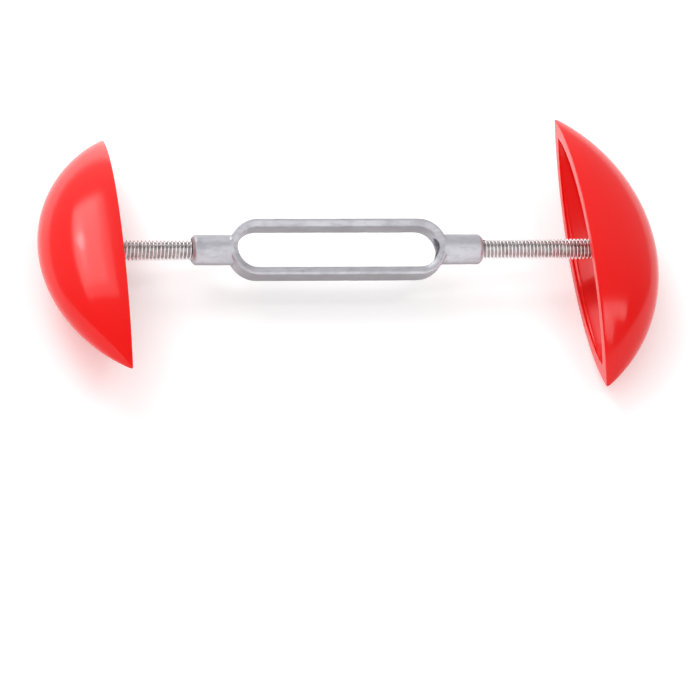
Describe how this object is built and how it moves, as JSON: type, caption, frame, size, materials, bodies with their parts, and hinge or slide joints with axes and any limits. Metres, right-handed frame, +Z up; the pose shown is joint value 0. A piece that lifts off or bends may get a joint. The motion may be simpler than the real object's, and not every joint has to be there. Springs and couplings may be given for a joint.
{
  "type": "shoe stretcher",
  "caption": "Turnbuckle shoe stretcher: hollow half-moon plastic shells on opposite-hand threaded rods, spread apart by turning a cast oval frame.",
  "frame": {"origin": "middle of the turnbuckle frame's slot, on the rods' common axis", "axes": "+X along the rods towards the long right-hand rod, +Y along the shells away from the viewer, +Z up from the surface the stretcher lies on"},
  "size_m": [0.117, 0.0638, 0.0166],
  "materials": {
    "shell_plastic": "glossy moulded red plastic",
    "cast_zinc": "light grey zinc alloy, as cast, satin",
    "plated_steel": "bright zinc-plated steel"
  },
  "bodies": {
    "left_half": {"left_shell": "shell_plastic", "left_rod": "plated_steel", "left_captive_nut": "plated_steel", "left_jam_nut": "plated_steel"},
    "left_washer": {"left_washer": "plated_steel"},
    "frame": {"frame": "cast_zinc"},
    "right_half": {"right_shell": "shell_plastic", "right_rod": "plated_steel", "right_captive_nut": "plated_steel", "right_jam_nut": "plated_steel", "right_washer": "plated_steel"}
  },
  "joints": [
    {"name": "frame_turn", "type": "hinge", "parent": "left_half", "child": "left_washer", "pos_m": [0, 0, 0], "axis": [1, 0, 0], "range_deg": [-723, 10083]},
    {"name": "frame_travel", "type": "slide", "parent": "left_washer", "child": "frame", "axis": [1, 0, 0], "range_m": [-0.01961, 0.00141]},
    {"name": "right_travel", "type": "slide", "parent": "left_half", "child": "right_half", "axis": [1, 0, 0], "range_m": [-0.0392, 0.0028]}
  ],
  "couplings": [
    {"joint": "frame_turn", "follows": "right_travel", "rad_per_m": -4488},
    {"joint": "frame_travel", "follows": "right_travel", "ratio": 0.5}
  ]
}
